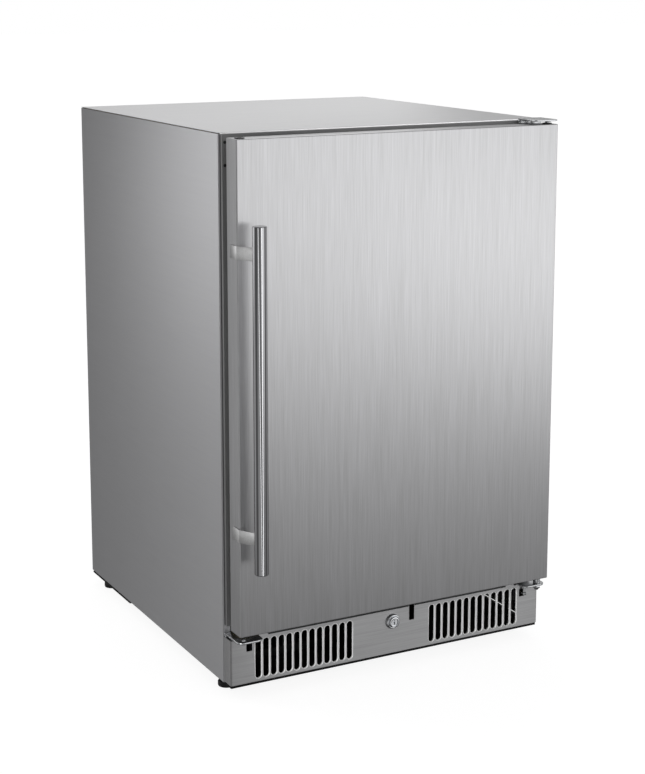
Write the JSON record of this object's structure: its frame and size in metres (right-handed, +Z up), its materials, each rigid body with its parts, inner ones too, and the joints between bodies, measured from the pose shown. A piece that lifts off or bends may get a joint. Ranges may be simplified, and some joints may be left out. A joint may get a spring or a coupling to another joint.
{
  "type": "undercounter refrigerator",
  "caption": "Front-breathing undercounter refrigerator with a stainless door hinged on the right, bar handle, slotted kick grille with key lock, shelves, door bins and cooling plant.",
  "frame": {"origin": "on the floor under the middle of the whole object", "axes": "+Z up, -Y out of the door, +X towards the hinge side"},
  "size_m": [0.566, 0.6836, 0.8725],
  "materials": {
    "brushed_stainless": "vertical grain",
    "polished_stainless": "fine polish",
    "stamped_stainless": "rolled sheet",
    "chromed_zinc": "bright",
    "black_steel": "satin black",
    "zinc_coated_steel": "galvanised",
    "grey_plastic": "satin",
    "white_plastic": "satin white",
    "insulation": "rigid foam",
    "gasket_rubber": "matt",
    "clear_plastic": "clear",
    "shelf_glass": "tempered",
    "black_plastic": "satin",
    "nylon": "moulded",
    "copper": "drawn",
    "aluminium_fins": "mill"
  },
  "bodies": {
    "root": {"side_panel_left": "brushed_stainless", "side_panel_right": "brushed_stainless", "top_panel": "brushed_stainless", "kick_grille": "brushed_stainless", "hinge_top_bracket": "stamped_stainless", "hinge_bottom_bracket": "stamped_stainless", "hinge_blank_left": "stamped_stainless", "lock_bezel": "chromed_zinc", "base_pan": "black_steel", "compressor_plate": "black_steel", "compressor": "black_steel", "condenser": "black_steel", "back_panel": "zinc_coated_steel", "control_box": "zinc_coated_steel", "front_frame": "grey_plastic", "inner_liner": "white_plastic", "shelf_rail_left": "white_plastic", "shelf_rail_right": "white_plastic", "evaporator_cover": "white_plastic", "drip_tray": "white_plastic", "foam_body": "insulation", "lamp_lens": "clear_plastic", "shelf_1": "shelf_glass", "shelf_2": "shelf_glass", "shelf_3": "shelf_glass", "rear_cover": "black_plastic", "cord_gland": "black_plastic", "evaporator_fan_motor": "black_plastic", "control_panel": "black_plastic", "condenser_fan_shroud": "black_plastic", "condenser_fan_motor": "black_plastic", "filter_drier": "copper", "evaporator": "aluminium_fins"},
    "door": {"door_skin": "brushed_stainless", "door_core": "insulation", "door_liner": "white_plastic", "door_gasket": "gasket_rubber", "door_bin_low": "clear_plastic", "door_bin_mid": "clear_plastic", "door_bin_top": "clear_plastic", "handle_bar": "polished_stainless", "handle_bracket_top": "stamped_stainless", "handle_bracket_bottom": "stamped_stainless", "hinge_bush_top": "nylon", "hinge_bush_bottom": "nylon", "bush_plug": "nylon", "lock_strike": "stamped_stainless"},
    "lock": {"lock_barrel": "chromed_zinc", "lock_cam": "zinc_coated_steel"},
    "condenser_fan": {"condenser_fan_blade": "black_plastic"},
    "evaporator_fan": {"evaporator_fan_blade": "white_plastic"},
    "power_button": {"button_power": "chromed_zinc"},
    "down_button": {"button_down": "chromed_zinc"},
    "up_button": {"button_up": "chromed_zinc"},
    "front_left_foot": {"foot_front_left": "black_plastic"},
    "front_right_foot": {"foot_front_right": "black_plastic"},
    "rear_left_foot": {"foot_rear_left": "black_plastic"},
    "rear_right_foot": {"foot_rear_right": "black_plastic"}
  },
  "joints": [
    {"name": "door_hinge", "type": "hinge", "parent": "root", "child": "door", "pos_m": [0.269, -0.28202, 0.1132], "axis": [0, 0, 1], "range_deg": [0, 110]},
    {"name": "lock_turn", "type": "hinge", "parent": "root", "child": "lock", "pos_m": [0.0025, -0.26453, 0.078], "axis": [0, -1, 0], "range_deg": [0, 90]},
    {"name": "condenser_fan_spin", "type": "hinge", "parent": "root", "child": "condenser_fan", "pos_m": [-0.11, 0.17877, 0.098], "axis": [0, 1, 0], "continuous": true},
    {"name": "evaporator_fan_spin", "type": "hinge", "parent": "root", "child": "evaporator_fan", "pos_m": [0, 0.26298, 0.715], "axis": [0, 1, 0], "continuous": true},
    {"name": "power_press", "type": "slide", "parent": "root", "child": "power_button", "axis": [0, 1, 0], "range_m": [0, 0.001], "stiffness_N_per_m": 800, "springref_m": -0.0005},
    {"name": "down_press", "type": "slide", "parent": "root", "child": "down_button", "axis": [0, 1, 0], "range_m": [0, 0.001], "stiffness_N_per_m": 800, "springref_m": -0.0005},
    {"name": "up_press", "type": "slide", "parent": "root", "child": "up_button", "axis": [0, 1, 0], "range_m": [0, 0.001], "stiffness_N_per_m": 800, "springref_m": -0.0005},
    {"name": "front_left_level", "type": "slide", "parent": "root", "child": "front_left_foot", "axis": [0, 0, -1], "range_m": [0, 0.012]},
    {"name": "front_right_level", "type": "slide", "parent": "root", "child": "front_right_foot", "axis": [0, 0, -1], "range_m": [0, 0.012]},
    {"name": "rear_left_level", "type": "slide", "parent": "root", "child": "rear_left_foot", "axis": [0, 0, -1], "range_m": [0, 0.012]},
    {"name": "rear_right_level", "type": "slide", "parent": "root", "child": "rear_right_foot", "axis": [0, 0, -1], "range_m": [0, 0.012]}
  ]
}
